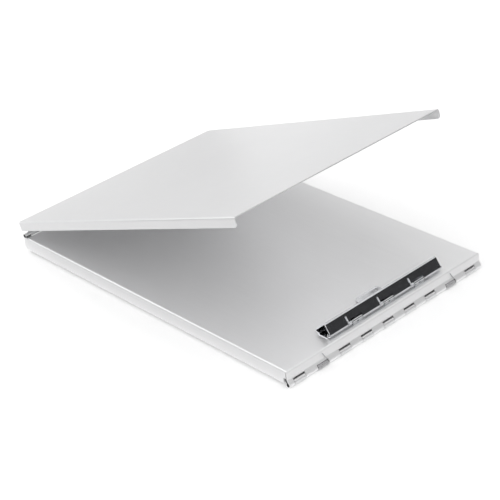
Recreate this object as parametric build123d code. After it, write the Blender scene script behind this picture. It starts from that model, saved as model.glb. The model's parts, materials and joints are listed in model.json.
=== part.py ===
from build123d import *
import math
import os

# Portable drawing board: a shallow storage tray, a writing plate hinged to the tray along the
# clip end, a protective cover hinged to the far end of the plate, and a sprung clip.
# Millimetres. The origin is the middle of the tray's underside. X runs across the board,
# +Y towards the clip, +Z up.

os.makedirs("parts", exist_ok=True)

# Overall sizes
board_width = 228.6
board_length = 330.0
plate_top_z = 14.2

# Sheets and bends
plate_sheet = 0.9
tray_sheet = 1.0
cover_sheet = 0.9
plate_bend = 1.2
cover_bend = 1.8
tray_bend = 2.6
tray_corner = 3.0
cover_corner = 3.2

# Flanges and walls
plate_flange_lift = 2.7
plate_flange_setback = 1.6
plate_flange_overrun = 1.2
plate_flange_round = 3.0
plate_flange_notch = 2.4
plate_flange_notch_height = 4.6
cover_flange_depth = 8.5
cover_flange_round = 3.4
cover_side_gap = 0.6
tray_side_gap = 0.6
tray_lid_gap = 0.9
tray_rear_setback = 0.7
tray_front_setback = 4.2

# Hinges, all on one pitch
hinge_pitch = 25.4
window_width = 12.7
window_shift = 0.9
window_edge_margin = 3.0
knuckle_gap = 0.3
knuckle_turn = 262.0
pin_diameter = 2.4
pin_clearance = 0.05
pin_end_inset = 0.5
pin_chamfer = 0.3
sweep_gap = 0.55

# Plate hinge, at the clip end
plate_hinge_out = 0.5
flare_angle = 34.0
flare_turn = 240.0
window_top_above_hinge = 3.85
spring_window_above_hinge = 2.65

# Cover hinge, at the far end
cover_hinge_in = 0.4
cover_top_above_hinge = 14.0
cover_end_behind_hinge = 1.2
cover_stop_short = 19.2
cover_open_angle = 20.0
tongue_lap = 1.5
tongue_bend = 0.6
tongue_step_low = 2.2
tongue_step_high = 3.8

# Hinge springs
spring_wire = 0.7
spring_coil_gap = 0.3
spring_turns = 17
spring_leg_inset = 0.1
spring_rest_gap = 0.15
spring_exit_angle = 50.0
spring_leg_reach = 6.5
spring_leg_lean = 4.5
spring_leg_below_top = 2.15

# Clip
clip_shift = -5.5
clip_side_margin = 48.3
clip_hinge_in = 6.7
jaw_sheet = 0.9
jaw_bend = 1.2
jaw_turn = 240.0
nose_bend = 1.0
lip_bend = 0.7
ridge_in = 4.5
ridge_rise = 9.5
nose_in = 15.1
nose_rise = 2.3
lip_back = 2.8
lip_length = 1.8
lip_rest_gap = 0.4
lip_step = 0.8
rod_overhang = 1.75
rod_diameter = 2.0
rod_chamfer = 0.2
base_overhang = 0.75
base_sheet = 0.7
base_depth = 10.7
base_rear_in = 0.6
base_clearance = 0.35
hook_lap = 3.0
hook_bend = 0.8
hook_turn = 225.0
tab_width = 11.0
tab_pitch_share = 0.28
tab_shift = -2.2
tab_hole = 1.6
notch_gap = 0.4
notch_height = 3.2
clip_spring_wire = 0.8
clip_spring_turns = 6
clip_spring_gap = 0.15
clip_leg_reach = 5.3
clip_leg_gap = 0.12
clip_leg_knee = 2.4
clip_leg_top = 6.4
clip_leg_inset = 0.2
clip_leg_thinner = 0.95
clip_leg_down_angle = 56.0
clip_leg_up_angle = 54.0
lift_width = 28.0
lift_reach = 7.0
lift_root = 1.0
lift_drop = 1.6
lift_gap = 0.85
lift_lip_run = 1.2
lift_lip_rise = 0.9
lift_bends = [1.2, 0.7]
lift_hole = 3.4
lift_hole_shift = -9.5
lift_corner = 4.0
rivet_shank = 2.4
rivet_fit = 0.05
rivet_head = 4.4
rivet_tail_smaller = 0.6
rivet_head_height = 0.8
rivet_head_round = 0.5
rivet_in = 6.8
rivet_shares = (-0.41, -0.137, 0.137, 0.41)

# How far a cutting block reaches past the metal it cuts
past = 9.0

# Sizes worked out from the ones above
half_width = board_width / 2
half_length = board_length / 2
plate_under_z = plate_top_z - plate_sheet
pin_radius = pin_diameter / 2
knuckle_inner = pin_radius + pin_clearance
plate_knuckle = knuckle_inner + plate_sheet
tray_knuckle = knuckle_inner + tray_sheet
cover_knuckle = knuckle_inner + cover_sheet
plate_roll = knuckle_inner + plate_sheet / 2
tray_roll = knuckle_inner + tray_sheet / 2
cover_roll = knuckle_inner + cover_sheet / 2
plate_hinge_y = half_length + plate_hinge_out
plate_hinge_z = tray_knuckle
cover_hinge_y = cover_hinge_in - half_length
cover_hinge_z = plate_under_z + plate_knuckle
window_top_z = plate_hinge_z + window_top_above_hinge
spring_window_top_z = plate_hinge_z + spring_window_above_hinge
cover_width = board_width + 2 * (cover_sheet + cover_side_gap)
cover_rear_y = cover_hinge_y - cover_end_behind_hinge
cover_front_y = half_length - cover_stop_short
cover_top_z = cover_hinge_z + cover_top_above_hinge
cover_low_z = cover_top_z - cover_flange_depth
pin_length = board_width - 2 * pin_end_inset
knuckle_width = window_width - 2 * knuckle_gap
window_room = half_width - window_width / 2 - window_edge_margin - abs(window_shift)
windows_each_side = int(window_room // hinge_pitch)
window_centres = [
    window_shift + hinge_pitch * i for i in range(-windows_each_side, windows_each_side + 1)]
spring_centres = [window_centres[1], window_centres[-2]]
window_back_y = plate_hinge_y - tray_knuckle - sweep_gap
spring_floor_end = plate_hinge_y - plate_knuckle - 3 * sweep_gap
tray_half_width = half_width - plate_sheet - tray_side_gap
tray_top_z = plate_under_z - tray_lid_gap
tray_rear_y = tray_rear_setback - half_length
tray_front_y = half_length - tray_front_setback
jaw_length = board_width - 2 * clip_side_margin
rod_length = jaw_length + 2 * rod_overhang
base_length = jaw_length + 2 * base_overhang
rod_radius = rod_diameter / 2
jaw_knuckle = rod_radius + pin_clearance + jaw_sheet
jaw_roll = rod_radius + pin_clearance + jaw_sheet / 2
base_roll = rod_radius + pin_clearance + base_sheet / 2
base_top_z = plate_top_z + base_sheet
clip_hinge_y = half_length - clip_hinge_in
clip_hinge_z = base_top_z + base_clearance + jaw_knuckle
jaw_ridge_y = clip_hinge_y - ridge_in
jaw_ridge_z = clip_hinge_z + ridge_rise
jaw_nose_y = clip_hinge_y - nose_in
jaw_nose_z = plate_top_z + nose_rise
tab_pitch = jaw_length * tab_pitch_share
tab_centres = [clip_shift + tab_shift + tab_pitch * i for i in (-1, 0, 1)]
clip_spring_length = clip_spring_wire * clip_spring_turns
clip_spring_inner = rod_radius + clip_spring_gap
rivet_y = clip_hinge_y - rivet_in
rivet_centres = [clip_shift + jaw_length * share for share in rivet_shares]


def along_x(section, x_from, x_to):
    # A section drawn in (y, z), made into a bar from x_from to x_to.
    return extrude(Plane.YZ.offset(x_from) * section, x_to - x_from)


def block(x_from, x_to, y_from, y_to, z_from, z_to):
    size = (x_to - x_from, y_to - y_from, z_to - z_from)
    middle = ((x_from + x_to) / 2, (y_from + y_to) / 2, (z_from + z_to) / 2)
    return Pos(*middle) * Box(*size)


def across(radius, x_from, x_to, y, z):
    # A round bar along X with its axis at (y, z).
    return Pos((x_from + x_to) / 2, y, z) * Rot(0, 90, 0) * Cylinder(radius, x_to - x_from)


def bent_wire(points, radius):
    # A round wire through the points, with a ball at each corner.
    body = Pos(*points[0]) * Sphere(radius)
    for start, end in zip(points, points[1:]):
        run = Line(start, end)
        body += extrude(Plane(origin=start, z_dir=run % 0) * Circle(radius), run.length)
        body += Pos(*end) * Sphere(radius)
    return body


def coil(inner, wire, length, x_from, y, z):
    # A close-wound coil along X: a sleeve with one round rib for each turn.
    turns = round(length / wire)
    step = length / turns
    middle = inner + wire / 2
    outline = [Line((0, inner), (0, middle))]
    for turn in range(turns):
        start = (turn * step, middle)
        top = ((turn + 0.5) * step, inner + wire)
        outline.append(ThreePointArc(start, top, ((turn + 1) * step, middle)))
    outline.append(Line((length, middle), (length, inner)))
    outline.append(Line((length, inner), (0, inner)))
    return Pos(x_from, y, z) * revolve(make_face(outline), Axis.X)


def roll(y, z, radius, start_angle, turn):
    return CenterArc((y, z), radius, start_angle, turn).edges()


def storage_tray():
    outer_front = plate_hinge_y - plate_knuckle - sweep_gap
    pan = block(-tray_half_width, tray_half_width, tray_rear_y, outer_front, 0, tray_top_z)
    rear_edges = pan.edges().filter_by(Axis.Z).group_by(Axis.Y)[0]
    pan = fillet(rear_edges, tray_corner)
    floor_edges = pan.faces().sort_by(Axis.Z)[0].edges().sort_by(Axis.Y)[:-1]
    pan = fillet(floor_edges, tray_bend)
    openings = [pan.faces().sort_by(Axis.Z)[-1], pan.faces().sort_by(Axis.Y)[-1]]
    pan = offset(pan, -tray_sheet, openings=openings)
    end_y = half_length + past
    pan -= block(-half_width, half_width, tray_front_y, end_y, tray_bend, plate_top_z)
    for x in window_centres:
        if x in spring_centres:
            right = x + window_width / 2
            pan -= block(right - window_width, right, spring_floor_end, end_y, -past, tray_top_z)
            continue
        left = x - knuckle_width / 2
        tongue = Line((tray_front_y, tray_sheet / 2), (plate_hinge_y, tray_sheet / 2)).edges()
        ring = roll(plate_hinge_y, plate_hinge_z, tray_roll, -90, knuckle_turn)
        pan += along_x(trace(tongue + ring, line_width=tray_sheet), left, left + knuckle_width)
    return pan


def writing_plate():
    mid_z = plate_top_z - plate_sheet / 2
    wall_y = half_length - plate_sheet / 2
    edge_x = half_width - plate_sheet / 2
    flange_end_y = half_length - plate_flange_setback
    # Top sheet and side flanges
    front_start = flange_end_y - 2 * plate_bend
    rear_start = cover_hinge_y + 2 * plate_knuckle
    channel_line = FilletPolyline(
        (-edge_x, plate_flange_lift), (-edge_x, mid_z), (edge_x, mid_z), (edge_x, plate_flange_lift),
        radius=plate_bend)
    channel = trace(channel_line, line_width=plate_sheet)
    channel_plane = Plane(origin=(0, front_start, 0), x_dir=(1, 0, 0), z_dir=(0, -1, 0))
    plate = extrude(channel_plane * channel, front_start - rear_start)
    # Front wall, flared out and rolled round the plate hinge pin
    spread = math.radians(flare_angle)
    touch_y = plate_hinge_y + plate_roll * math.cos(spread)
    touch_z = plate_hinge_z + plate_roll * math.sin(spread)
    bend_z = touch_z + (touch_y - wall_y) / math.tan(spread)
    front_line = FilletPolyline(
        (front_start, mid_z), (wall_y, mid_z), (wall_y, bend_z), (touch_y, touch_z), radius=plate_bend)
    front_roll = roll(plate_hinge_y, plate_hinge_z, plate_roll, flare_angle, -flare_turn)
    front = along_x(trace(front_line.edges() + front_roll, line_width=plate_sheet),
                    -half_width, half_width)
    envelope = block(
        -half_width, half_width, front_start - past, half_length + past, -past, plate_top_z)
    shoulders = envelope.edges().filter_by(Axis.Y).group_by(Axis.Z)[-1]
    plate += front & fillet(shoulders, plate_bend + plate_sheet / 2)
    # Far end, rolled up round the cover hinge pin
    rear_line = Line((rear_start, mid_z), (cover_hinge_y, mid_z)).edges()
    rear_roll = roll(cover_hinge_y, cover_hinge_z, plate_roll, -90, -knuckle_turn)
    rear = trace(rear_line + rear_roll, line_width=plate_sheet)
    plate += along_x(rear, -half_width, half_width)
    for side in (-1, 1):
        left, right = sorted((side * half_width, side * (half_width - plate_sheet)))
        plate += block(left, right, front_start, flange_end_y, plate_flange_lift, plate_under_z)
        notch_y = flange_end_y - plate_flange_notch
        notch_z = plate_flange_lift + plate_flange_notch_height
        plate -= block(left, right, notch_y, flange_end_y, plate_flange_lift, notch_z)
        rear_end = cover_hinge_y - plate_flange_overrun
        ear = block(left, right, rear_end, rear_start, plate_flange_lift, plate_under_z)
        corner = ear.edges().filter_by(Axis.X).group_by(Axis.Z)[0].sort_by(Axis.Y)[0]
        plate += fillet(corner, plate_flange_round)
    # Windows for the other leaf of each hinge
    for x in window_centres:
        left = x - window_width / 2
        right = x + window_width / 2
        top_z = spring_window_top_z if x in spring_centres else window_top_z
        plate -= block(left, right, window_back_y, half_length + past, -past, top_z)
        rear_end = cover_hinge_y + cover_knuckle + sweep_gap
        low_z = plate_under_z - plate_sheet
        plate -= block(left, right, cover_hinge_y - past, rear_end, low_z, plate_top_z + past)
    # Holes for the clip rivets
    for x in rivet_centres:
        plate -= Pos(x, rivet_y, plate_top_z) * Cylinder(rivet_shank / 2 + rivet_fit, past)
    return plate


def cover():
    # Drawn closed, flat above the plate, then opened about its hinge.
    half_cover = cover_width / 2
    shell = block(-half_cover, half_cover, cover_rear_y, cover_front_y, cover_low_z, cover_top_z)
    shell = fillet(shell.edges().filter_by(Axis.Z).group_by(Axis.Y)[0], cover_corner)
    top_edges = shell.faces().sort_by(Axis.Z)[-1].edges().sort_by(Axis.Y)[:-1]
    shell = fillet(top_edges, cover_bend)
    openings = [shell.faces().sort_by(Axis.Z)[0], shell.faces().sort_by(Axis.Y)[-1]]
    shell = offset(shell, -cover_sheet, openings=openings)
    # Round the free lower corner of each side flange
    corners = shell.edges().filter_by(Axis.X).group_by(Axis.Z)[0].group_by(Axis.Y)[-1]
    shell = fillet(corners, cover_flange_round)
    # Hinge tongues, rolled round the pin
    line_y = cover_rear_y + cover_sheet / 2
    roll_y = cover_hinge_y - cover_roll
    tongue = FilletPolyline(
        (line_y, cover_low_z + tongue_lap), (line_y, cover_hinge_z + tongue_step_high),
        (roll_y, cover_hinge_z + tongue_step_low), (roll_y, cover_hinge_z), radius=tongue_bend)
    ring = roll(cover_hinge_y, cover_hinge_z, cover_roll, 180, knuckle_turn)
    knuckle = trace(tongue.edges() + ring, line_width=cover_sheet)
    for x in window_centres:
        left = x - knuckle_width / 2
        shell += along_x(knuckle, left, left + knuckle_width)
    hinge = Axis((0, cover_hinge_y, cover_hinge_z), (1, 0, 0))
    return shell.rotate(hinge, cover_open_angle)


def hinge_spring():
    # Coil on the plate hinge pin, one leg up the front wall and one along the tray floor.
    # Drawn about x = 0.
    inner = pin_radius + spring_coil_gap
    middle = inner + spring_wire / 2
    length = spring_wire * spring_turns
    start_x = -length / 2
    radius = spring_wire / 2
    rest = radius + spring_rest_gap
    spring = coil(inner, spring_wire, length, start_x, plate_hinge_y, plate_hinge_z)
    # The wall leg leaves the coil in front of the flare and lies against it, then the wall
    leave = math.radians(spring_exit_angle)
    flare = math.radians(flare_angle)
    line_y = plate_hinge_y + (plate_roll + plate_sheet / 2 + rest) / math.cos(flare)
    leg_x = start_x + radius + spring_leg_inset
    wall_y = half_length + rest
    bend_z = plate_hinge_z + (line_y - wall_y) / math.tan(flare)
    low_z = spring_window_top_z
    low_y = line_y - (low_z - plate_hinge_z) * math.tan(flare)
    top_z = plate_top_z - spring_leg_below_top
    lean = spring_leg_lean / (top_z - low_z)
    spring += bent_wire([
        (leg_x, plate_hinge_y + middle * math.cos(leave), plate_hinge_z + middle * math.sin(leave)),
        (leg_x, low_y, low_z),
        (leg_x + lean * (bend_z - low_z), wall_y, bend_z),
        (leg_x + spring_leg_lean, wall_y, top_z)], radius)
    floor_z = tray_sheet + rest
    far_x = start_x + length - radius - spring_leg_inset
    spring += bent_wire([
        (far_x, plate_hinge_y, plate_hinge_z - middle),
        (far_x, spring_floor_end + 2 * radius, floor_z),
        (far_x, spring_floor_end - spring_leg_reach, floor_z)], radius)
    return spring


def rear_touch_angle():
    # Direction from the rod to where the jaw's rear slope leaves its roll.
    to_rod = Vector(ridge_in, jaw_sheet / 2 - ridge_rise)
    heading = math.atan2(to_rod.Y, to_rod.X) + math.asin(jaw_roll / to_rod.length)
    return math.degrees(heading) + 90


def jaw_line():
    # Centre line of the jaw in (y, z), from the nose to the roll round the rod.
    ridge = Vector(jaw_ridge_y, jaw_ridge_z - jaw_sheet / 2)
    rod = Vector(clip_hinge_y, clip_hinge_z)
    touch_angle = rear_touch_angle()
    touch_y = rod.X + jaw_roll * math.cos(math.radians(touch_angle))
    touch_z = rod.Y + jaw_roll * math.sin(math.radians(touch_angle))
    nose = (jaw_nose_y, jaw_nose_z)
    lip_z = plate_top_z + lip_rest_gap + jaw_sheet / 2
    lip = (jaw_nose_y + lip_back, lip_z)
    back = (jaw_nose_y + lip_back + lip_length, lip_z + lip_step)
    slopes = FilletPolyline(
        back, lip, nose, (ridge.X, ridge.Y), (touch_y, touch_z), radius=[lip_bend, nose_bend, jaw_bend])
    return slopes.edges() + roll(rod.X, rod.Y, jaw_roll, touch_angle, -jaw_turn)


def clip_jaw():
    x_from = clip_shift - jaw_length / 2
    x_to = clip_shift + jaw_length / 2
    jaw = along_x(trace(jaw_line(), line_width=jaw_sheet), x_from, x_to)
    for x in tab_centres:
        left = x - tab_width / 2 - notch_gap
        right = x + tab_width / 2 + clip_spring_length + 2 * notch_gap
        cut_y = clip_hinge_y - jaw_knuckle - jaw_sheet
        top_z = clip_hinge_z + notch_height
        jaw -= block(left, right, cut_y, clip_hinge_y + past, plate_top_z, top_z)
    # Lift tab, turned up at its front edge
    front_y = jaw_nose_y - lift_reach
    lift_z = plate_top_z + lift_gap + jaw_sheet / 2
    root = (jaw_nose_y + lift_root, jaw_nose_z + lift_root * ridge_rise / (nose_in - ridge_in))
    lift_line = FilletPolyline(
        root, (jaw_nose_y - lift_drop, lift_z), (front_y + lift_lip_run, lift_z),
        (front_y, lift_z + lift_lip_rise), radius=lift_bends)
    left = clip_shift - lift_width / 2
    lift = along_x(trace(lift_line, line_width=jaw_sheet), left, left + lift_width)
    depth = 2 * lift_reach
    outline = Pos(clip_shift, front_y + lift_reach - jaw_sheet / 2)
    outline *= RectangleRounded(lift_width, depth, lift_corner)
    lift &= extrude(Plane.XY * outline, jaw_ridge_z)
    hole_y = front_y + (lift_reach + lift_lip_run - lift_drop) / 2
    lift -= Pos(clip_shift + lift_hole_shift, hole_y, lift_z) * Cylinder(lift_hole / 2, past)
    return jaw + lift


def clip_base():
    x_from = clip_shift - base_length / 2
    x_to = clip_shift + base_length / 2
    floor_y = clip_hinge_y - base_rear_in
    base = block(x_from, x_to, clip_hinge_y - base_depth, floor_y, plate_top_z, base_top_z)
    hook_y = clip_hinge_y + base_roll
    mid_z = plate_top_z + base_sheet / 2
    hook_line = FilletPolyline(
        (floor_y - hook_lap, mid_z), (hook_y, mid_z), (hook_y, clip_hinge_z), radius=hook_bend)
    hook_ring = roll(clip_hinge_y, clip_hinge_z, base_roll, 0, hook_turn)
    hook = trace(hook_line.edges() + hook_ring, line_width=base_sheet)
    for x in tab_centres:
        base += along_x(hook, x - tab_width / 2, x + tab_width / 2)
        hole = Rot(90, 0, 0) * Cylinder(tab_hole / 2, 2 * base_sheet)
        base -= Pos(x, hook_y, base_top_z + tab_hole) * hole
    for x in rivet_centres:
        base -= Pos(x, rivet_y, plate_top_z) * Cylinder(rivet_shank / 2 + rivet_fit, past)
    return base


def clip_spring():
    # Coil on the clip rod, one leg down on the base and one up the outside of the jaw's rear
    # slope, which it presses forward. Drawn from x = 0.
    middle = clip_spring_inner + clip_spring_wire / 2
    radius = clip_leg_thinner * clip_spring_wire / 2
    spring = coil(
        clip_spring_inner, clip_spring_wire, clip_spring_length, 0, clip_hinge_y, clip_hinge_z)
    first_x = clip_leg_inset + radius
    last_x = clip_spring_length - clip_leg_inset - radius
    floor_z = base_top_z + radius + clip_leg_gap
    down = math.radians(clip_leg_down_angle)
    rise = math.radians(clip_leg_up_angle)
    away = math.radians(rear_touch_angle())
    stand = jaw_roll + jaw_sheet / 2 + clip_leg_gap + radius
    knee, top = [
        (last_x,
         clip_hinge_y + stand * math.cos(away) - up * math.sin(away),
         clip_hinge_z + stand * math.sin(away) + up * math.cos(away))
        for up in (clip_leg_knee, clip_leg_top)]
    spring += bent_wire([
        (first_x, clip_hinge_y - middle * math.cos(down), clip_hinge_z - middle * math.sin(down)),
        (first_x, clip_hinge_y - clip_leg_reach, floor_z)], radius)
    spring += bent_wire([
        (last_x, clip_hinge_y + middle * math.cos(rise), clip_hinge_z + middle * math.sin(rise)),
        knee, top], radius)
    return spring


def clip_rivets():
    rivets = []
    low_z = plate_under_z - rivet_head_height
    high_z = base_top_z + rivet_head_height
    tail_radius = (rivet_head - rivet_tail_smaller) / 2
    for x in rivet_centres:
        shank = Pos(0, 0, (low_z + base_top_z) / 2) * Cylinder(rivet_shank / 2, base_top_z - low_z)
        head = Pos(0, 0, (base_top_z + high_z) / 2) * Cylinder(rivet_head / 2, rivet_head_height)
        head = fillet(head.faces().sort_by(Axis.Z)[-1].edges(), rivet_head_round)
        tail = Pos(0, 0, (low_z + plate_under_z) / 2) * Cylinder(tail_radius, rivet_head_height)
        rivets.append((Pos(x, rivet_y, 0) * (shank + head + tail)).solid())
    return Compound(children=rivets)


def hinge_pin(y, z):
    pin = across(pin_radius, -pin_length / 2, pin_length / 2, y, z)
    return chamfer(pin.edges(), pin_chamfer)


def clip_rod():
    x_from = clip_shift - rod_length / 2
    rod = across(rod_radius, x_from, x_from + rod_length, clip_hinge_y, clip_hinge_z)
    return chamfer(rod.edges(), rod_chamfer)


torsion_spring = hinge_spring()
closing_spring = clip_spring()
nodes = {
    "storage_tray": storage_tray(),
    "writing_plate": writing_plate(),
    "cover": cover(),
    "plate_hinge_pin": hinge_pin(plate_hinge_y, plate_hinge_z),
    "cover_hinge_pin": hinge_pin(cover_hinge_y, cover_hinge_z),
    "hinge_spring_left": Pos(spring_centres[0], 0, 0) * torsion_spring,
    "hinge_spring_right": Pos(spring_centres[1], 0, 0) * torsion_spring,
    "clip_base": clip_base(),
    "clip_jaw": clip_jaw(),
    "clip_rod": clip_rod(),
    "clip_rivets": clip_rivets(),
}
for number, tab_x in enumerate(tab_centres, 1):
    start_x = tab_x + tab_width / 2 + notch_gap
    nodes[f"clip_spring_{number}"] = Pos(start_x, 0, 0) * closing_spring

for name, shape in nodes.items():
    export_step(shape, f"parts/{name}.step")

print("plate hinge axis y z", plate_hinge_y, plate_hinge_z)
print("cover hinge axis y z", cover_hinge_y, cover_hinge_z)
print("clip hinge axis y z", clip_hinge_y, clip_hinge_z)
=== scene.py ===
import json
import math
import bpy
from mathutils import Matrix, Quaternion, Vector


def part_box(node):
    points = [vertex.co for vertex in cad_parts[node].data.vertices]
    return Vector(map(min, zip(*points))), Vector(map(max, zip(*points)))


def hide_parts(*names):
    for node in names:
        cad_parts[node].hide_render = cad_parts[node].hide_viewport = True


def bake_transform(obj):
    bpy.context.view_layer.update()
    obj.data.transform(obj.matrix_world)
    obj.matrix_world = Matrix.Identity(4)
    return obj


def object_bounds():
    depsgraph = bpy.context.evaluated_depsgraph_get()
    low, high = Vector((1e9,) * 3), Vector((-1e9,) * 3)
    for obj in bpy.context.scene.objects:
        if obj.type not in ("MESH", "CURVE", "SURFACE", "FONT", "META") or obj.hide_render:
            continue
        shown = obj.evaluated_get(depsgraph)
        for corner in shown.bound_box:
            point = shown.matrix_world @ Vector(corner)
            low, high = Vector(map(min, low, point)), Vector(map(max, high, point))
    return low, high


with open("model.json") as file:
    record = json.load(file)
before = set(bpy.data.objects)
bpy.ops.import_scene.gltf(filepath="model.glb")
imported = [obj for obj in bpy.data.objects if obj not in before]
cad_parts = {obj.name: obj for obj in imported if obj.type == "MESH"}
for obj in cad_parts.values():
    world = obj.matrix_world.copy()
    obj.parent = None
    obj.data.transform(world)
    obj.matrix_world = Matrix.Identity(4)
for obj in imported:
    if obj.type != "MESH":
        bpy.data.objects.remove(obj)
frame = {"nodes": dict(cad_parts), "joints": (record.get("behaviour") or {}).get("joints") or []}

cadLow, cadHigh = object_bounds()
nodes = frame["nodes"]
print("frame loaded", len(nodes), "nodes")

camera = {
    "place": (0.79858, 0.91177, 0.70967),
    "azimuth": 138.60,
    "elevation": 30.05,
    "roll": -5.08,
    "lens": 116.43,
    "sensor": 36.0,
    "clipStart": 0.05,
    "clipEnd": 40.0,
}

studio = {
    "floorSize": 12.0,
    "floorDrop": 0.0002,
    "worldColor": (1.0, 1.0, 1.0, 1.0),
    "worldStrength": 0.82,
}

softboxes = {
    "overhead": {
        "place": (0.0, -0.2, 1.6), "aim": (0.0, 0.0, 0.0), "size": (1.6, 1.6), "power": 6.0},
    "clipSide": {
        "place": (0.9, 1.2, 1.0), "aim": (0.0, 0.1, 0.0), "size": (1.0, 1.0), "power": 2.5},
    "edgeStrip": {
        "place": (0.75, -0.975, 0.855), "aim": (0.0, 0.0, 0.0), "size": (0.9, 0.14), "power": 2.4},
}

# Cards that only reflections see, each placed from the middle of one of the object's nodes
cards = {
    "clipCard": {
        "near": "clip_jaw", "direction": (-0.572, 0.693, 0.431), "distance": 0.40,
        "size": (0.40, 0.22), "color": (0.045, 0.045, 0.047, 1.0)},
    "plateCard": {
        "near": "clip_jaw", "direction": (-0.60, -0.62, 0.50), "distance": 0.50,
        "size": (0.36, 0.30), "color": (0.57, 0.57, 0.57, 1.0)},
    "coverCard": {
        "near": "cover_hinge_pin", "direction": (-0.12, -0.335, 0.045), "distance": 0.36,
        "size": (0.42, 0.24), "color": (0.52, 0.52, 0.52, 1.0)},
    "sideFlag": {
        "near": "writing_plate", "direction": (0.36, -0.12, 0.10), "distance": 0.40,
        "size": (0.60, 0.28), "color": (0.30, 0.30, 0.30, 1.0)},
}

# Grey mats on the floor, seen only in reflections. "corner" says which ends of the object's
# bounds (first x, first y, last x, last y) the two offsets are counted from.
floorMats = {
    "sideMat": {
        "from": (0.003, -0.30), "to": (0.40, 0.0), "corner": ("high", "low", "high", "high")},
    "frontMat": {
        "from": (-0.30, 0.003), "to": (0.0, 0.35), "corner": ("low", "high", "high", "high")},
}
matFinish = {
    "color": (0.70, 0.70, 0.70, 1.0),
    "lift": 0.0004,
}
mattRoughness = 0.9


def deselectAll():
    bpy.ops.object.select_all(action="DESELECT")


class Field:
    # A socket that takes part in sums, so shader maths reads as an expression.
    def __init__(self, kit, socket):
        self.kit = kit
        self.socket = socket

    def maths(self, operation, other, swapped=False):
        values = [self, other]
        if swapped:
            values.reverse()
        return self.kit.node(
            "ShaderNodeMath", {"operation": operation}, {0: values[0], 1: values[1]})

    def __add__(self, other):
        return self.maths("ADD", other)

    __radd__ = __add__

    def __mul__(self, other):
        return self.maths("MULTIPLY", other)

    __rmul__ = __mul__

    def __sub__(self, other):
        return self.maths("SUBTRACT", other)

    def __rsub__(self, other):
        return self.maths("SUBTRACT", other, swapped=True)


class MaterialKit:
    def __init__(self, name):
        self.material = bpy.data.materials.new(name)
        self.material.use_nodes = True
        self.tree = self.material.node_tree
        self.tree.nodes.clear()
        self.shader = self.tree.nodes.new("ShaderNodeBsdfPrincipled")
        output = self.tree.nodes.new("ShaderNodeOutputMaterial")
        self.tree.links.new(self.shader.outputs["BSDF"], output.inputs["Surface"])

    def fill(self, node, sockets):
        for key, value in sockets.items():
            target = node.inputs[key]
            if isinstance(value, Field):
                self.tree.links.new(value.socket, target)
            else:
                target.default_value = value

    def node(self, kind, settings=None, sockets=None, output=0):
        made = self.tree.nodes.new(kind)
        for key, value in (settings or {}).items():
            setattr(made, key, value)
        self.fill(made, sockets or {})
        return Field(self, made.outputs[output])

    def place(self, scale):
        # Object coordinates, stretched by a Mapping node
        where = self.node("ShaderNodeTexCoord", output="Object")
        return self.node("ShaderNodeMapping", None, {"Vector": where, "Scale": scale})

    def axis(self, name):
        where = self.node("ShaderNodeTexCoord", output="Object")
        return self.node("ShaderNodeSeparateXYZ", None, {"Vector": where}, output=name)

    def noise(self, scale, detail, roughness=0.55, stretch=(1.0, 1.0, 1.0)):
        where = self.place(stretch)
        return self.node(
            "ShaderNodeTexNoise", {"noise_dimensions": "3D"},
            {"Vector": where, "Scale": scale, "Detail": detail, "Roughness": roughness},
            output="Fac")

    def between(self, factor, low, high):
        # sockets 6 and 7 are the Mix node's colours, output 2 its colour result
        return self.node(
            "ShaderNodeMix", {"data_type": "RGBA", "blend_type": "MIX"},
            {0: factor, 6: low, 7: high}, output=2)

    def ramp(self, factor, low, high):
        # 0 at low and 1 at high, and held there beyond them
        return self.node(
            "ShaderNodeMapRange", {"clamp": True},
            {"Value": factor, "From Min": low, "From Max": high, "To Min": 0.0, "To Max": 1.0})

    def bump(self, height, distance, strength):
        return self.node(
            "ShaderNodeBump", None,
            {"Height": height, "Distance": distance, "Strength": strength}, output="Normal")

    def finish(self, sockets):
        self.fill(self.shader, sockets)
        return self.material


# Where noise turns into a finish: dull below the first value, light above the second
toneSpan = (0.3, 0.7)

sheetMetal = {
    "cover": {
        "light": (0.91, 0.91, 0.915, 1.0), "dull": (0.87, 0.87, 0.875, 1.0), "roughness": 0.38},
    "plate": {
        "light": (0.95, 0.95, 0.955, 1.0), "dull": (0.91, 0.91, 0.915, 1.0), "roughness": 0.42},
    "tray": {
        "light": (0.84, 0.84, 0.845, 1.0), "dull": (0.80, 0.80, 0.805, 1.0), "roughness": 0.40},
    "metallic": 0.70,
    "grainAcross": 2600.0,
    "grainAlong": 14.0,
    "grainDepth": 0.000012,
    "grainStrength": 0.6,
    "streakAcross": 0.16,  # of the grain's own scale
    "streakAlong": 0.5,
    "cloudScale": 9.0,
    "hazeScale": 42.0,
    "hazeRoughness": 0.08,
    "grainRoughness": 0.06,
    "toneShares": {"grain": 0.35, "streak": 0.25, "cloud": 0.4},
    "bumpShares": {"grain": 0.7, "streak": 0.3},
}

# Bores of the hinge knuckles, painted near-black: painted shade inside the hinge windows
knuckleBore = {
    "paintedShade": (0.035, 0.035, 0.036, 1.0),
    "clearance": 0.0003,
    "edge": 0.0002,
}


def jointPlace(name):
    joint = next(j for j in frame["joints"] if j["name"] == name)
    return Vector(joint["pos_m"])


def insideKnuckles(kit, joint):
    # 1 on the bore around the pin, where the shade is painted, 0 on the rest of the sheet
    axis = jointPlace(joint)
    y, z = kit.axis("Y") - axis.y, kit.axis("Z") - axis.z
    away = kit.node("ShaderNodeMath", {"operation": "SQRT"}, {0: y * y + z * z})
    low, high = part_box(joint + "_pin")
    reach = (high.z - low.z) * 0.5 + knuckleBore["clearance"]
    return kit.ramp(away, reach + knuckleBore["edge"], reach)


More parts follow.
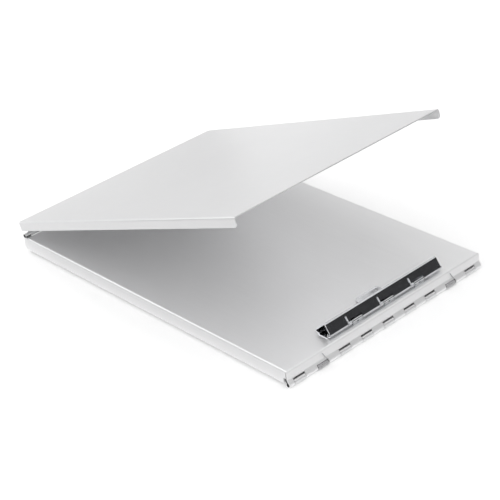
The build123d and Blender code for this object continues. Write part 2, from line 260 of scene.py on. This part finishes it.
def satinAluminium(name, look, hinges):
    kit = MaterialKit(name)
    across, along = sheetMetal["grainAcross"], sheetMetal["grainAlong"]
    streakX, streakY = across * sheetMetal["streakAcross"], along * sheetMetal["streakAlong"]
    grain = kit.noise(1.0, 3.0, 0.6, (across, along, across))
    streak = kit.noise(1.0, 2.0, 0.5, (streakX, streakY, streakX))
    cloud = kit.noise(sheetMetal["cloudScale"], 3.0)
    haze = kit.noise(sheetMetal["hazeScale"], 5.0, 0.6)
    shares = sheetMetal["toneShares"]
    mixed = grain * shares["grain"] + streak * shares["streak"] + cloud * shares["cloud"]
    color = kit.between(kit.ramp(mixed, *toneSpan), look["dull"], look["light"])
    rough = look["roughness"] + (haze - 0.5) * sheetMetal["hazeRoughness"]
    rough = rough + (grain - 0.5) * sheetMetal["grainRoughness"]
    # Painted shade: the knuckle bores around each hinge pin turn near-black
    for joint in hinges:
        color = kit.between(insideKnuckles(kit, joint), color, knuckleBore["paintedShade"])
    relief = sheetMetal["bumpShares"]
    height = grain * relief["grain"] + streak * relief["streak"]
    return kit.finish({
        "Base Color": color,
        "Metallic": sheetMetal["metallic"],
        "Roughness": rough,
        "Normal": kit.bump(height, sheetMetal["grainDepth"], sheetMetal["grainStrength"]),
    })


brightPlate = {
    "light": (0.80, 0.81, 0.83, 1.0),
    "dull": (0.66, 0.67, 0.69, 1.0),
    "roughness": 0.07,
    "rippleScale": 120.0,
    "rippleDepth": 0.00004,
    "rippleStrength": 0.5,
    "smudgeScale": 160.0,
    "smudgeSpan": (0.35, 0.75),
    "smudgeRoughness": 0.08,
}


def brightChrome():
    kit = MaterialKit("brightChrome")
    smudge = kit.noise(brightPlate["smudgeScale"], 6.0, 0.62)
    ripple = kit.noise(brightPlate["rippleScale"], 2.0)
    wear = kit.ramp(smudge, *brightPlate["smudgeSpan"])
    return kit.finish({
        "Base Color": kit.between(wear, brightPlate["light"], brightPlate["dull"]),
        "Metallic": 1.0,
        "Roughness": brightPlate["roughness"] + wear * brightPlate["smudgeRoughness"],
        "Normal": kit.bump(ripple, brightPlate["rippleDepth"], brightPlate["rippleStrength"]),
    })


wireSteel = {
    # The pin's near-black tones are painted shade, darkening the hinge windows
    "pin": {
        "light": (0.10, 0.10, 0.102, 1.0), "dull": (0.05, 0.05, 0.051, 1.0), "roughness": 0.34},
    "rod": {
        "light": (0.52, 0.52, 0.53, 1.0), "dull": (0.34, 0.34, 0.35, 1.0), "roughness": 0.28},
    "spring": {
        "light": (0.66, 0.66, 0.67, 1.0), "dull": (0.44, 0.44, 0.45, 1.0), "roughness": 0.24},
    "drawnAcross": 9000.0,
    "drawnAlong": 300.0,
    "drawnDepth": 0.00001,
    "drawnStrength": 0.5,
    "stainScale": 420.0,
    "stainRoughness": 0.16,
}


def drawnSteel(name, look):
    kit = MaterialKit(name)
    across, along = wireSteel["drawnAcross"], wireSteel["drawnAlong"]
    drawn = kit.noise(1.0, 3.0, 0.6, (along, across, across))
    stain = kit.noise(wireSteel["stainScale"], 5.0, 0.6)
    tone = kit.ramp(drawn * 0.5 + stain * 0.5, *toneSpan)
    return kit.finish({
        "Base Color": kit.between(tone, look["dull"], look["light"]),
        "Metallic": 1.0,
        "Roughness": look["roughness"] + (stain - 0.5) * wireSteel["stainRoughness"],
        "Normal": kit.bump(drawn, wireSteel["drawnDepth"], wireSteel["drawnStrength"]),
    })


paper = {
    "dull": (0.93, 0.93, 0.93, 1.0),
    "light": (0.95, 0.95, 0.95, 1.0),
    "fibreScale": 900.0,
    "specular": 0.1,
    "glowColor": (1.0, 1.0, 1.0, 1.0),
    "glow": 0.12,
}


def floorPaper():
    kit = MaterialKit("floorPaper")
    fibre = kit.noise(paper["fibreScale"], 3.0)
    return kit.finish({
        "Base Color": kit.between(kit.ramp(fibre, *toneSpan), paper["dull"], paper["light"]),
        "Roughness": mattRoughness,
        "Specular IOR Level": paper["specular"],
        "Emission Color": paper["glowColor"],
        "Emission Strength": paper["glow"],
    })


def mattGrey(name, color):
    return MaterialKit(name).finish(
        {"Base Color": color, "Roughness": mattRoughness, "Specular IOR Level": 0.0})


def makeFloor():
    deselectAll()
    bpy.ops.mesh.primitive_plane_add(
        size=studio["floorSize"], location=(0.0, 0.0, cadLow.z - studio["floorDrop"]))
    floor = bpy.context.object
    floor.name = "floor"
    floor.data.materials.append(floorPaper())


def lookRotation(forward, roll):
    turn = forward.to_track_quat("-Z", "Y")
    return turn @ Quaternion((0.0, 0.0, 1.0), math.radians(roll))


def makeCamera():
    side, rise = math.radians(camera["azimuth"]), math.radians(camera["elevation"])
    level = math.cos(rise)
    back = Vector((math.sin(side) * level, -math.cos(side) * level, math.sin(rise)))
    data = bpy.data.cameras.new("studioCamera")
    data.lens = camera["lens"]
    data.sensor_width = camera["sensor"]
    data.clip_start, data.clip_end = camera["clipStart"], camera["clipEnd"]
    holder = bpy.data.objects.new("studioCamera", data)
    bpy.context.scene.collection.objects.link(holder)
    holder.location = camera["place"]
    holder.rotation_mode = "QUATERNION"
    holder.rotation_quaternion = lookRotation(-back, camera["roll"])
    bpy.context.scene.camera = holder


def makeLights():
    world = bpy.data.worlds.new("whiteRoom")
    bpy.context.scene.world = world
    world.use_nodes = True
    background = world.node_tree.nodes["Background"]
    background.inputs["Color"].default_value = studio["worldColor"]
    background.inputs["Strength"].default_value = studio["worldStrength"]
    for name, box in softboxes.items():
        data = bpy.data.lights.new(name, "AREA")
        data.shape = "RECTANGLE"
        data.size, data.size_y = box["size"]
        data.energy = box["power"]
        lamp = bpy.data.objects.new(name, data)
        bpy.context.scene.collection.objects.link(lamp)
        lamp.location = box["place"]
        lamp.rotation_mode = "QUATERNION"
        lamp.rotation_quaternion = lookRotation(Vector(box["aim"]) - Vector(box["place"]), 0.0)


def hideCard(card):
    card.visible_camera = False
    card.visible_diffuse = False
    card.visible_shadow = False


def makeMat(name, look):
    deselectAll()
    ends = {"low": cadLow, "high": cadHigh}
    xFirst, yFirst, xLast, yLast = (ends[end] for end in look["corner"])
    x0, y0 = xFirst.x + look["from"][0], yFirst.y + look["from"][1]
    x1, y1 = xLast.x + look["to"][0], yLast.y + look["to"][1]
    middle = ((x0 + x1) / 2, (y0 + y1) / 2, cadLow.z + matFinish["lift"])
    bpy.ops.mesh.primitive_plane_add(size=1.0, location=middle)
    mat = bpy.context.object
    mat.name = name
    mat.scale = (x1 - x0, y1 - y0, 1.0)
    mat.data.materials.append(mattGrey(name, matFinish["color"]))
    hideCard(mat)


def makeCard(name, look):
    deselectAll()
    low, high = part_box(look["near"])
    direction = Vector(look["direction"]).normalized()
    bpy.ops.mesh.primitive_plane_add(size=1.0, location=(0.0, 0.0, 0.0))
    card = bpy.context.object
    card.name = name
    card.scale = (look["size"][0], look["size"][1], 1.0)
    card.rotation_mode = "QUATERNION"
    card.rotation_quaternion = direction.to_track_quat("Z", "Y")
    card.location = (low + high) / 2 + direction * look["distance"]
    card.data.materials.append(mattGrey(name, look["color"]))
    hideCard(card)


hingeSpring = {
    "wire": 0.0007,
    "coilRadius": 0.00185,
    "turns": 15,
    "startAngle": 50.0,
    "endAngle": -90.0,
    "legInset": 0.0001,
    "bendAbove": 0.00474,
    "windowAbove": 0.00265,
    "windowOut": 0.00140,
    "lean": 0.0045,
    "floorDrop": 0.00075,
    "floorStart": 0.0031,
}

clipSpring = {
    "wire": 0.00078,
    "coilRadius": 0.00155,
    "turns": 4,
    "startAngle": 265.0,
    "endAngle": 413.0,
    "legInset": 0.0002,
    "lowLeg": (-0.0053, -0.0018),
    "highLeg": ((0.00063, 0.00337), (-0.00166, 0.00665)),
}

wireMaking = {
    "stepsPerTurn": 24,
    "bevelSteps": 3,
    "mergeWithin": 0.000001,
    "smoothBelow": 40.0,
}


def windings(x0, x1, axis, radius, first, last):
    # Points of a helix along X from angle first to angle last, in degrees
    count = round(abs(last - first) / 360.0 * wireMaking["stepsPerTurn"])
    points = []
    for i in range(count + 1):
        share = i / count
        angle = math.radians(first + (last - first) * share)
        y, z = radius * math.cos(angle), radius * math.sin(angle)
        points.append(Vector((x0 + (x1 - x0) * share, axis.y + y, axis.z + z)))
    return points


def makeWire(name, points, wire):
    data = bpy.data.curves.new(name, "CURVE")
    data.dimensions = "3D"
    data.bevel_depth = wire / 2
    data.bevel_resolution = wireMaking["bevelSteps"]
    data.use_fill_caps = True
    spline = data.splines.new("POLY")
    spline.points.add(len(points) - 1)
    for point, place in zip(spline.points, points):
        point.co = (*place, 1.0)
    piece = bpy.data.objects.new(name, data)
    bpy.context.scene.collection.objects.link(piece)
    deselectAll()
    piece.select_set(True)
    bpy.context.view_layer.objects.active = piece
    bpy.ops.object.convert(target="MESH")
    piece = bpy.context.object
    bpy.ops.object.mode_set(mode="EDIT")
    bpy.ops.mesh.select_all(action="SELECT")
    bpy.ops.mesh.remove_doubles(threshold=wireMaking["mergeWithin"])
    bpy.ops.mesh.normals_make_consistent(inside=False)
    bpy.ops.object.mode_set(mode="OBJECT")
    bpy.ops.object.shade_smooth_by_angle(angle=math.radians(wireMaking["smoothBelow"]))
    return piece


def makeHingeSpring(node, material):
    low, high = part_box(node)
    axis = jointPlace("plate_hinge")
    look = hingeSpring
    radius = look["wire"] / 2
    x0, x1 = low.x + radius + look["legInset"], high.x - radius - look["legInset"]
    bendZ = axis.z + look["bendAbove"]
    topZ = high.z - radius
    windowZ = axis.z + look["windowAbove"]
    lean = look["lean"] / (topZ - windowZ)
    points = [
        Vector((x0 + look["lean"], axis.y, topZ)),
        Vector((x0 + lean * (bendZ - windowZ), axis.y, bendZ)),
        Vector((x0, axis.y + look["windowOut"], windowZ)),
    ]
    last = look["endAngle"] - 360.0 * look["turns"]
    points += windings(x0, x1, axis, look["coilRadius"], look["startAngle"], last)
    floorZ = axis.z - look["floorDrop"]
    points.append(Vector((x1, axis.y - look["floorStart"], floorZ)))
    points.append(Vector((x1, low.y + radius, floorZ)))
    spring = makeWire(node + "_wire", points, look["wire"])
    spring.data.materials.append(material)
    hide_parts(node)
    # Points on the pin axis by the floor leg and by the leaning wall leg
    start = (x1 - radius * 2, axis.y, axis.z)
    end = (x0 + look["lean"] + radius * 2, axis.y, axis.z)
    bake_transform(spring)


def makeClipSpring(node, material):
    low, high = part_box(node)
    axis = jointPlace("jaw_hinge")
    look = clipSpring
    radius = look["wire"] / 2
    x0, x1 = low.x + radius + look["legInset"], high.x - radius - look["legInset"]
    points = [Vector((x0, axis.y + look["lowLeg"][0], axis.z + look["lowLeg"][1]))]
    last = look["endAngle"] + 360.0 * look["turns"]
    points += windings(x0, x1, axis, look["coilRadius"], look["startAngle"], last)
    points += [Vector((x1, axis.y + y, axis.z + z)) for y, z in look["highLeg"]]
    spring = makeWire(node + "_wire", points, look["wire"])
    spring.data.materials.append(material)
    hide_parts(node)
    # Points on the rod axis by the leg at low x and by the leg at high x
    start, end = (x0 + radius, axis.y, axis.z), (x1 - radius, axis.y, axis.z)
    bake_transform(spring)


def paint(name, material):
    for slot in nodes[name].material_slots:
        slot.material = material


def paintNodes():
    chrome = brightChrome()
    pinSteel = drawnSteel("pinSteel", wireSteel["pin"])
    springSteel = drawnSteel("springSteel", wireSteel["spring"])
    bothHinges = ("plate_hinge", "cover_hinge")
    paint("storage_tray", satinAluminium("trayAluminium", sheetMetal["tray"], bothHinges[:1]))
    paint("writing_plate", satinAluminium("plateAluminium", sheetMetal["plate"], bothHinges))
    paint("cover", satinAluminium("coverAluminium", sheetMetal["cover"], bothHinges[1:]))
    for name in ("clip_base", "clip_jaw", "clip_rivets"):
        paint(name, chrome)
    # The hinge pins take the near-black steel: painted shade in the hinge windows
    for name in ("plate_hinge_pin", "cover_hinge_pin"):
        paint(name, pinSteel)
    paint("clip_rod", drawnSteel("rodSteel", wireSteel["rod"]))
    for name in ("hinge_spring_left", "hinge_spring_right"):
        paint(name, springSteel)
        makeHingeSpring(name, springSteel)
    for name in ("clip_spring_1", "clip_spring_2", "clip_spring_3"):
        paint(name, chrome)
        makeClipSpring(name, chrome)


bpy.context.scene.view_settings.view_transform = "Standard"
makeCamera()
makeFloor()
makeLights()
for name, look in cards.items():
    makeCard(name, look)
for name, look in floorMats.items():
    makeMat(name, look)
print("studio ready")
paintNodes()
print("materials ready")
